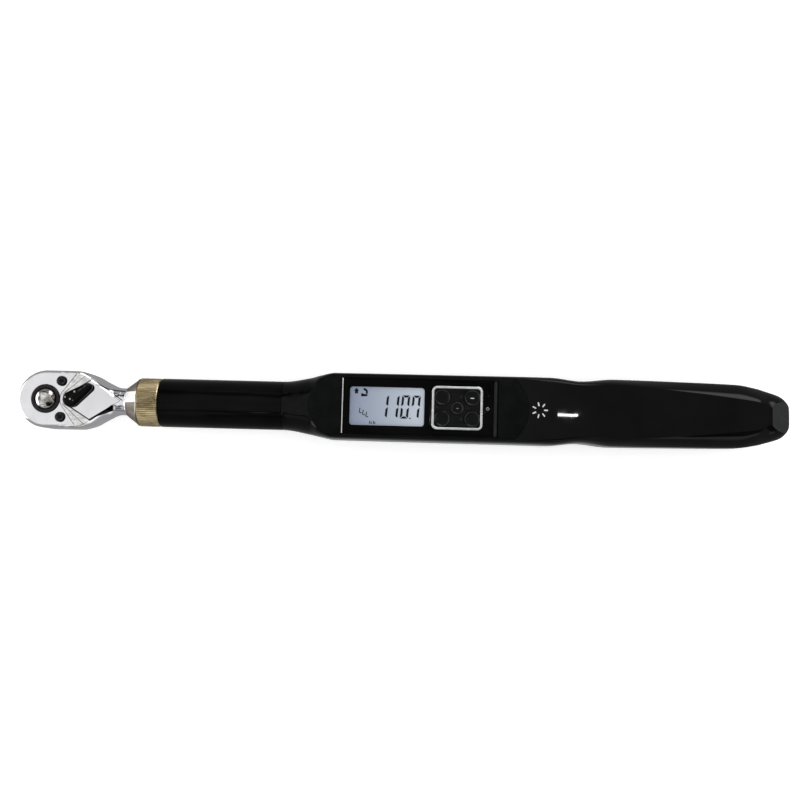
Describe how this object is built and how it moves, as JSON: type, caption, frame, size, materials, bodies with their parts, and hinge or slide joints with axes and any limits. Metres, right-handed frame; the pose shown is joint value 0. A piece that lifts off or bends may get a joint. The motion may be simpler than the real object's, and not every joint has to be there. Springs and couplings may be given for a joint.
{
  "type": "torque wrench",
  "caption": "Digital torque wrench with a reversible square-drive ratchet head, knurled collar, display, keypad and long moulded grip.",
  "frame": {"origin": "centre of the drive square's end face, on the drive axis", "axes": "+X along the tool to the handle's end, +Z from the drive square up to the display, +Y to the lever's side at rest"},
  "size_m": [0.4479, 0.0392, 0.0397],
  "materials": {
    "chrome": "polished chrome plating",
    "steel": "machined steel",
    "black_steel": "black oxide steel, satin",
    "collar": "bronze-toned knurled ring, satin",
    "foil": "copper-coloured foil gauge",
    "gloss_black": "gloss black paint on steel tube",
    "gloss_black_shell": "gloss black moulding",
    "matte_black": "matt black moulding",
    "black_plastic": "plain black moulding",
    "lens": "dark glossy window, clear over the display",
    "silver_trim": "satin silver",
    "grey_trim": "dark grey",
    "lcd": "pale blue-grey liquid crystal display",
    "backlight": "white light guide",
    "board": "green circuit board",
    "rubber": "black silicone rubber",
    "led": "clear domed lens",
    "cell": "plain dry cell with a dark sleeve"
  },
  "bodies": {
    "handle": {"head_body": "chrome", "head_cover_plate": "chrome", "cover_screw_upper": "black_steel", "cover_screw_lower": "black_steel", "pawl_plunger": "steel", "pawl_spring": "steel", "tube": "gloss_black", "strain_beam": "steel", "strain_gauge_left": "foil", "strain_gauge_right": "foil", "shank_pin": "steel", "beam_screw_1": "steel", "beam_screw_2": "steel", "upper_shell": "gloss_black_shell", "lower_shell": "gloss_black_shell", "display_cover": "matte_black", "window_lens": "lens", "window_trim_front": "silver_trim", "window_trim_rear": "grey_trim", "lcd_panel": "lcd", "lcd_backlight": "backlight", "circuit_board": "board", "keypad_frame": "silver_trim", "keypad_panel": "rubber", "status_led": "led", "buzzer": "black_plastic", "battery_tray": "black_plastic", "battery_cell_left": "cell", "battery_cell_right": "cell", "battery_contact_plate": "steel", "battery_spring_left": "steel", "battery_spring_right": "steel", "shell_screw_1": "black_steel", "shell_screw_2": "black_steel", "shell_screw_3": "black_steel", "shell_screw_4": "black_steel", "shell_screw_5": "black_steel", "switch_top_left": "steel", "switch_top_right": "steel", "switch_bottom_left": "steel", "switch_bottom_right": "steel", "switch_centre": "steel"},
    "drive": {"drive_gear": "steel", "gear_bush": "black_steel", "release_spring": "steel"},
    "release_button": {"release_button": "chrome"},
    "detent_ball": {"detent_ball": "steel"},
    "lever": {"reversing_lever": "black_steel"},
    "pawl": {"pawl": "steel"},
    "collar": {"knurled_collar": "collar"},
    "battery_door": {"battery_door": "gloss_black_shell"},
    "button_top_left": {"button_top_left": "rubber"},
    "button_top_right": {"button_top_right": "rubber"},
    "button_bottom_left": {"button_bottom_left": "rubber"},
    "button_bottom_right": {"button_bottom_right": "rubber"},
    "button_centre": {"button_centre": "rubber"}
  },
  "joints": [
    {"name": "drive_spin", "type": "hinge", "parent": "handle", "child": "drive", "pos_m": [0, 0, 0], "axis": [0, 0, 1], "continuous": true},
    {"name": "release_press", "type": "slide", "parent": "drive", "child": "release_button", "axis": [0, 0, -1], "range_m": [0, 0.0022], "stiffness_N_per_m": 1200, "springref_m": -0.001, "deforming": ["release_spring"]},
    {"name": "ball_retract", "type": "slide", "parent": "drive", "child": "detent_ball", "axis": [0, -1, 0], "range_m": [0, 0.0008]},
    {"name": "lever_flip", "type": "hinge", "parent": "handle", "child": "lever", "pos_m": [0.0149, 0, 0.033], "axis": [0, 0, 1], "range_deg": [-72, 0]},
    {"name": "pawl_rock", "type": "hinge", "parent": "handle", "child": "pawl", "pos_m": [0.0149, 0, 0.0196], "axis": [0, 0, 1], "range_deg": [-7.1, 0]},
    {"name": "collar_turn", "type": "hinge", "parent": "handle", "child": "collar", "pos_m": [0.0586, 0, 0.022], "axis": [1, 0, 0], "continuous": true},
    {"name": "battery_door_open", "type": "hinge", "parent": "handle", "child": "battery_door", "pos_m": [0.32235, 0, 0.0047], "axis": [0, 1, 0], "range_deg": [0, 75]},
    {"name": "press_top_left", "type": "slide", "parent": "handle", "child": "button_top_left", "axis": [0, 0, -1], "range_m": [0, 0.0007], "stiffness_N_per_m": 900, "springref_m": -0.0004},
    {"name": "press_top_right", "type": "slide", "parent": "handle", "child": "button_top_right", "axis": [0, 0, -1], "range_m": [0, 0.0007], "stiffness_N_per_m": 900, "springref_m": -0.0004},
    {"name": "press_bottom_left", "type": "slide", "parent": "handle", "child": "button_bottom_left", "axis": [0, 0, -1], "range_m": [0, 0.0007], "stiffness_N_per_m": 900, "springref_m": -0.0004},
    {"name": "press_bottom_right", "type": "slide", "parent": "handle", "child": "button_bottom_right", "axis": [0, 0, -1], "range_m": [0, 0.0007], "stiffness_N_per_m": 900, "springref_m": -0.0004},
    {"name": "press_centre", "type": "slide", "parent": "handle", "child": "button_centre", "axis": [0, 0, -1], "range_m": [0, 0.0007], "stiffness_N_per_m": 900, "springref_m": -0.0004}
  ],
  "couplings": [
    {"joint": "ball_retract", "follows": "release_press", "ratio": 0.36},
    {"joint": "pawl_rock", "follows": "lever_flip", "ratio": 0.0972}
  ]
}
